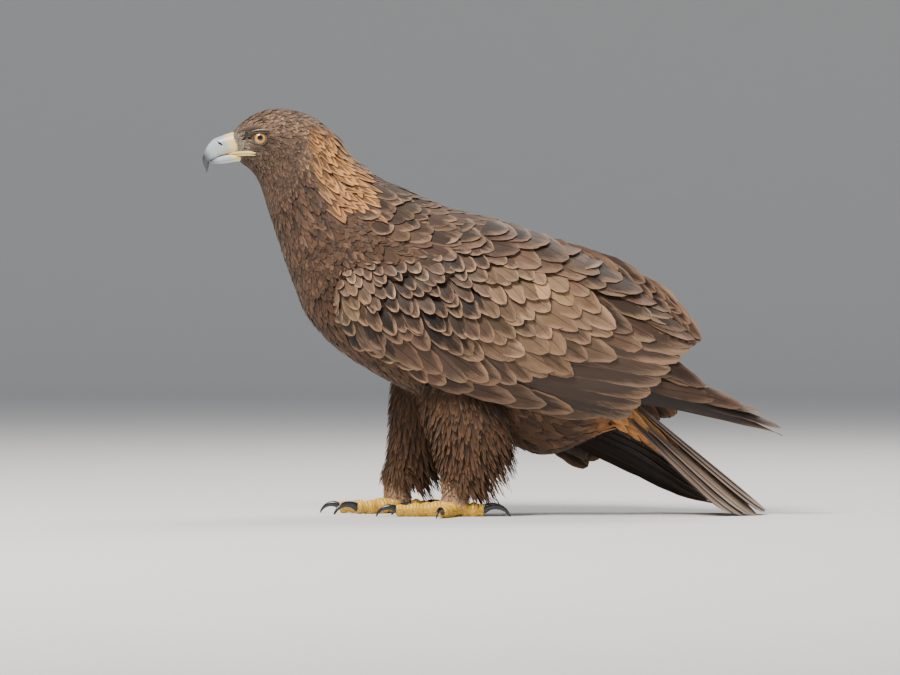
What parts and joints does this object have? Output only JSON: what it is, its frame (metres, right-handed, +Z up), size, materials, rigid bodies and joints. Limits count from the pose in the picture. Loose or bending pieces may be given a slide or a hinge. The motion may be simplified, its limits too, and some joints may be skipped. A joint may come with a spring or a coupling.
{
  "type": "golden eagle",
  "caption": "Life-size golden eagle standing upright with wings folded and tail lowered, with feathered legs, hooked bill and curved claws.",
  "frame": {"origin": "on the floor under the middle of the whole bird's bounding box", "axes": "+Z up, the bird faces -X, its left side is -Y"},
  "size_m": [0.7412, 0.2354, 0.5196],
  "materials": {
    "body_feathers": "dark brown feathers, soft",
    "nape_feathers": "golden lance-shaped feathers",
    "wing_coverts": "brown feathers with pale edges",
    "flight_feathers": "blackish stiff feathers, slight sheen",
    "tail_feathers": "grey-brown stiff feathers with dark tips",
    "leg_feathers": "soft brown feathers",
    "toe_skin": "yellow scaled skin",
    "claw": "black glossy horn",
    "bill": "blue-grey horn with a dark tip and a yellow base",
    "eye": "wet amber iris with a black pupil"
  },
  "bodies": {
    "root": {"bill_lower": "bill", "bill_upper": "bill", "claw_left_1": "claw", "claw_left_2": "claw", "claw_left_3": "claw", "claw_left_4": "claw", "claw_right_1": "claw", "claw_right_2": "claw", "claw_right_3": "claw", "claw_right_4": "claw", "eye_left": "eye", "eye_right": "eye", "foot_left": "toe_skin", "foot_right": "toe_skin", "head": "body_feathers", "neck": "nape_feathers", "shank_left": "leg_feathers", "shank_right": "leg_feathers", "tail": "tail_feathers", "thigh_left": "leg_feathers", "thigh_right": "leg_feathers", "torso": "body_feathers", "wing_left_arm": "wing_coverts", "wing_left_hand": "flight_feathers", "wing_right_arm": "wing_coverts", "wing_right_hand": "flight_feathers"}
  },
  "joints": []
}
